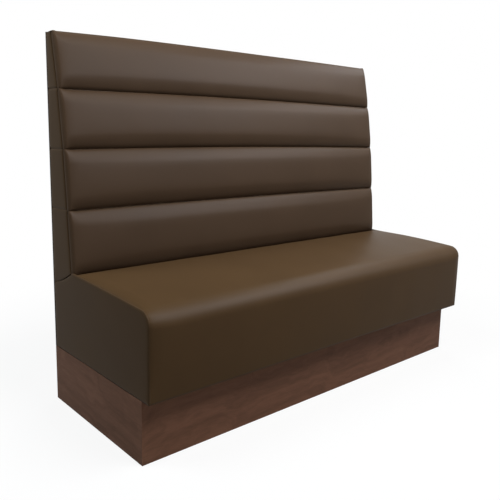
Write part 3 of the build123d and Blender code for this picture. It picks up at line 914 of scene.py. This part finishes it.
class BOOTH_OT_seat_cushion(bpy.types.Operator):
    """Builds the seat's cushion with its waterfall front"""

    bl_idname = "booth.seat_cushion"
    bl_label = "Seat cushion"

    def execute(self, context):
        colour = context.scene.booth_colours.seat_vinyl
        finish = finish_of(vinyl_finish, "seat vinyl", colour, SEAT_GLOSS)
        seat_cushion(finish, context.scene.booth_shape)
        return {"FINISHED"}


class BOOTH_OT_end_panels(bpy.types.Operator):
    """Builds the padded end panels of the seat and of the back, and the back's top strip"""

    bl_idname = "booth.end_panels"
    bl_label = "End panels"

    def execute(self, context):
        shape = context.scene.booth_shape
        colours = context.scene.booth_colours
        # The end panels' colour has the light on them painted into it.
        finish = finish_of(vinyl_finish, "end vinyl", colours.end_vinyl, END_GLOSS)
        seams = [z for _, z in panel_line[1:-1]]
        for side, word in ((-1, "left"), (1, "right")):
            grid, outline = seat_end_grid(shape)
            panel = end_panel(
                f"seat_{word}_panel", side, grid, outline, shape.side_tuck, finish, shape,
                SEAT_END_SEED + side)
            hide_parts(f"seat_{word}_cover", f"seat_{word}_pad")
            grid, outline = back_end_grid(shape)
            panel = end_panel(
                f"back_{word}_panel", side, grid, outline, 0.4 * shape.side_tuck, finish, shape,
                BACK_END_SEED + side, seams)
            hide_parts(f"back_{word}_cover", f"back_{word}_pad")
        # The top strip takes the back's colour, with its painted sheen.
        finish = finish_of(
            vinyl_finish, "strip vinyl", colours.back_vinyl, STRIP_GLOSS, STRIP_ROUGHNESS)
        top_strip(finish, shape)
        return {"FINISHED"}


class BOOTH_OT_plinth(bpy.types.Operator):
    """Gives the plinth's outer boards their walnut face and softened edges"""

    bl_idname = "booth.plinth"
    bl_label = "Plinth boards"

    def execute(self, context):
        colours = context.scene.booth_colours
        for node, along in (
            ("plinth_front_board", 0), ("plinth_left_board", 1), ("plinth_right_board", 1),
        ):
            finish = walnut_finish(
                f"{node} walnut", colours.walnut, colours.walnut_dark, along)
            wear(nodes[node], finish)
            soften(nodes[node], width=0.6 * MM)
        return {"FINISHED"}


def soften(piece, width):
    """A small bevel on a board's sharp edges."""
    bevel = piece.modifiers.new("softened edges", "BEVEL")
    bevel.width = width
    bevel.segments = 2
    bevel.limit_method = "ANGLE"
    piece.data.shade_flat()


class BOOTH_OT_frame(bpy.types.Operator):
    """Gives the hidden frame, its fixings and the linings their finishes"""

    bl_idname = "booth.frame"
    bl_label = "Frame and linings"

    def execute(self, context):
        colours = context.scene.booth_colours
        makers = {
            "birch_ply": lambda: finish_of(timber_finish, "birch ply", colours.ply, 1.6),
            "softwood": lambda: finish_of(timber_finish, "softwood", colours.softwood, 0.8),
            "black_cloth": lambda: finish_of(cloth_finish, colours.lining),
            "steel": lambda: finish_of(steel_finish, colours.steel),
        }
        for subpart in frame["record"]["subparts"]:
            if subpart["material_slot"] in makers:
                wear(nodes[subpart["node"]], makers[subpart["material_slot"]]())
        return {"FINISHED"}


class BOOTH_OT_stage(bpy.types.Operator):
    """Sets up the floor, the soft lights and the camera"""

    bl_idname = "booth.stage"
    bl_label = "Stage"

    def execute(self, context):
        make_floor()
        make_lights(context.scene)
        make_camera(context.scene)
        return {"FINISHED"}


def seen_rays(graph):
    """1 for rays from the camera, from gloss and through glass, and 0 for the rest."""
    camera_output, gloss_output, glass_output = 0, 3, 6
    camera, gloss, glass = (
        graph.node("ShaderNodeLightPath", output=index)
        for index in (camera_output, gloss_output, glass_output))
    return graph.maths("MINIMUM", camera + gloss + glass, 1.0)


def make_floor():
    """A wide white floor that keeps the booth's shadow and is plain white far off."""
    half = 9.0
    bounced, seen_white = (0.28, 0.28, 0.28), (0.9, 0.9, 0.9)
    shadow_reach, plain_reach = 0.9, 1.9
    mesh = bpy.data.meshes.new("floor")
    corners = [(-half, -half, 0), (half, -half, 0), (half, half, 0), (-half, half, 0)]
    mesh.from_pydata(corners, [], [(0, 1, 2, 3)])
    floor = bpy.data.objects.new("floor", mesh)
    bpy.context.scene.collection.objects.link(floor)
    graph = Graph(bpy.data.materials.new("white floor"))
    seen = seen_rays(graph)
    tone = graph.mix(seen, solid(bounced), solid(seen_white))
    plain = graph.node("ShaderNodeBsdfDiffuse", None, {"Color": tone})
    white = graph.node("ShaderNodeEmission", None, {"Color": (1, 1, 1, 1), "Strength": 1.0})
    reach = graph.node(
        "ShaderNodeVectorMath", {"operation": "LENGTH"}, {0: graph.coordinates()}, output=1)
    far = graph.node(
        "ShaderNodeMapRange", {"interpolation_type": "SMOOTHSTEP"},
        {"Value": reach, "From Min": shadow_reach, "From Max": plain_reach,
         "To Min": 0.88, "To Max": 1.0})
    mixed = graph.node("ShaderNodeMixShader", None, {0: seen * far, 1: plain, 2: white})
    graph.node("ShaderNodeOutputMaterial", None, {0: mixed})
    mesh.materials.append(graph.owner)


def area_light(name, place, target, size, power, colour=(1, 1, 1)):
    """A rectangular soft light that faces a target."""
    data = bpy.data.lights.new(name, "AREA")
    data.shape = "RECTANGLE"
    data.size, data.size_y = size
    data.energy = power
    data.color = colour
    lamp = bpy.data.objects.new(name, data)
    lamp.location = place
    way = Vector(target) - Vector(place)
    lamp.rotation_euler = way.to_track_quat("-Z", "Y").to_euler()
    bpy.context.scene.collection.objects.link(lamp)
    return lamp


def make_lights(scene):
    """Soft studio light from above, and a world that is white where it is seen."""
    area_light("key light", (0.4, -1.4, 3.2), (0, 0, 0.6), (1.8, 1.2), 98)
    area_light("front light", (-0.9, -3.0, 0.4), (-0.1, 0, 0.12), (2.2, 0.5), 8)
    cool = (0.82, 0.9, 1.0)
    for card in (
        area_light("gloss card", (1.15, -2.3, 2.3), (-0.15, 0.1, 0.9), (3.2, 1.6), 190, cool),
        area_light("edge card", (1.45, -0.75, 1.95), (-0.1, -0.25, 0.42), (2.2, 0.7), 38, cool),
    ):
        card.visible_diffuse = False
    area_light(
        "left light", (-2.0, 0.6, 3.0), (0, 0.2, 1.1), (1.2, 1.6), 57, (0.88, 0.96, 1.0))
    area_light("rear light", (2.2, 2.4, 1.9), (0, 0.2, 0.6), (1.6, 1.2), 30)
    world = bpy.data.worlds.new("studio")
    scene.world = world
    graph = Graph(world)
    soft = graph.node("ShaderNodeBackground", None, {"Color": (1, 1, 1, 1), "Strength": 0.07})
    white = graph.node("ShaderNodeBackground", None, {"Color": (1, 1, 1, 1), "Strength": 1.0})
    mixed = graph.node("ShaderNodeMixShader", None, {0: seen_rays(graph), 1: soft, 2: white})
    graph.node("ShaderNodeOutputWorld", None, {0: mixed})
    scene.view_settings.view_transform = "Standard"


def make_camera(scene):
    """The camera at the place that was fitted to the photograph, with its shifted centre."""
    place = Vector((-1.5242, -1.4778, 0.8694))
    yaw, pitch, roll = (math.radians(angle) for angle in (39.04, 8.897, 0.514))
    focal_pixels, image_side = 582.46, 500.0
    centre_pixels = (212.66, 228.59)
    sensor = 36.0
    ahead = Vector((
        math.sin(yaw) * math.cos(pitch), math.cos(yaw) * math.cos(pitch), -math.sin(pitch)))
    right = Vector((math.cos(yaw), -math.sin(yaw), 0))
    above = right.cross(ahead)
    turned_right = right * math.cos(roll) + above * math.sin(roll)
    turned_up = above * math.cos(roll) - right * math.sin(roll)
    data = bpy.data.cameras.new("camera")
    data.sensor_width = sensor
    data.lens = focal_pixels / image_side * sensor
    data.shift_x = 0.5 - centre_pixels[0] / image_side
    data.shift_y = centre_pixels[1] / image_side - 0.5
    camera = bpy.data.objects.new("camera", data)
    turn = Matrix((turned_right, turned_up, -ahead)).transposed().to_4x4()
    camera.matrix_world = Matrix.Translation(place) @ turn
    scene.collection.objects.link(camera)
    scene.camera = camera


class BOOTH_PT_panel(bpy.types.Panel):
    """Lists the booth's steps in the sidebar"""

    bl_label = "Booth seat"
    bl_idname = "BOOTH_PT_panel"
    bl_space_type = "VIEW_3D"
    bl_region_type = "UI"
    bl_category = "Booth"

    def draw(self, context):
        for operator in OPERATORS:
            self.layout.operator(operator.bl_idname)
        for group in (context.scene.booth_shape, context.scene.booth_colours):
            for name in group.__annotations__:
                self.layout.prop(group, name)


OPERATORS = (
    BOOTH_OT_channels, BOOTH_OT_seat_cushion, BOOTH_OT_end_panels, BOOTH_OT_plinth,
    BOOTH_OT_frame, BOOTH_OT_stage,
)


def register():
    """Makes the properties, operators and panel known to Blender."""
    for item in (BoothShape, BoothColours, *OPERATORS, BOOTH_PT_panel):
        bpy.utils.register_class(item)
    bpy.types.Scene.booth_shape = bpy.props.PointerProperty(type=BoothShape)
    bpy.types.Scene.booth_colours = bpy.props.PointerProperty(type=BoothColours)


def unregister():
    """Takes them out again."""
    del bpy.types.Scene.booth_colours
    del bpy.types.Scene.booth_shape
    for item in reversed((BoothShape, BoothColours, *OPERATORS, BOOTH_PT_panel)):
        bpy.utils.unregister_class(item)


def main():
    """Builds the whole booth."""
    register()
    bpy.ops.booth.channels()
    bpy.ops.booth.seat_cushion()
    bpy.ops.booth.end_panels()
    bpy.ops.booth.plinth()
    bpy.ops.booth.frame()
    bpy.ops.booth.stage()


if __name__ == "__main__":
    main()
